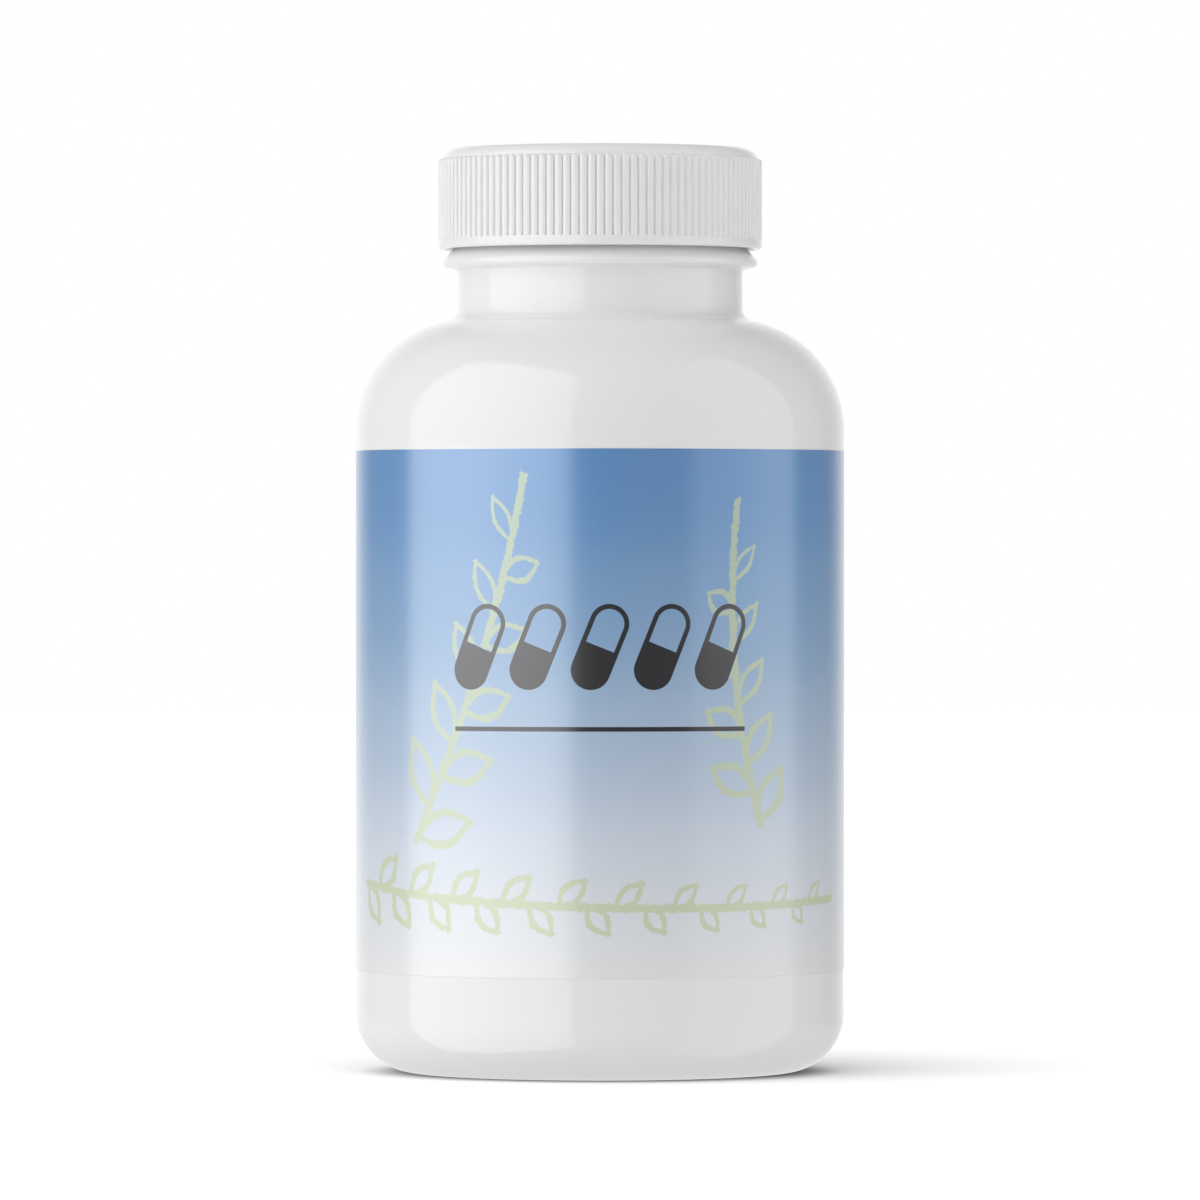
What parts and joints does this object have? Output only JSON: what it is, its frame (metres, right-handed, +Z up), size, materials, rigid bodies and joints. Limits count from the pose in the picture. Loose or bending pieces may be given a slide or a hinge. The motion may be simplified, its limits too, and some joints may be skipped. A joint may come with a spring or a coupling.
{
  "type": "capsule bottle",
  "caption": "Cylindrical plastic bottle with a domed shoulder, a threaded neck, a ribbed screw cap with a sealing liner and a wrap label, for capsules or tablets.",
  "frame": {"origin": "middle of the ring that the bottle stands on", "axes": "+Z up along the bottle's axis, -Y towards the front of the label"},
  "size_m": [0.0604, 0.0604, 0.1136],
  "materials": {
    "bottle_plastic": "white blow-moulded polyethylene, satin gloss",
    "label_film": "printed film, smooth, blue at the top fading to near white at the bottom",
    "liner_foam": "pale closed-cell foam, matt",
    "cap_plastic": "white moulded polypropylene, satin"
  },
  "bodies": {
    "bottle": {"bottle": "bottle_plastic", "label": "label_film"},
    "liner": {"cap_liner": "liner_foam"},
    "cap": {"cap": "cap_plastic"}
  },
  "joints": [
    {"name": "cap_rise", "type": "slide", "parent": "bottle", "child": "liner", "axis": [0, 0, 1], "range_m": [0, 0.0046]},
    {"name": "cap_turn", "type": "hinge", "parent": "liner", "child": "cap", "pos_m": [0, 0, 0.107], "axis": [0, 0, 1], "range_deg": [0, 390]}
  ],
  "couplings": [
    {"joint": "cap_rise", "follows": "cap_turn", "m_per_rad": 0.0006737}
  ]
}
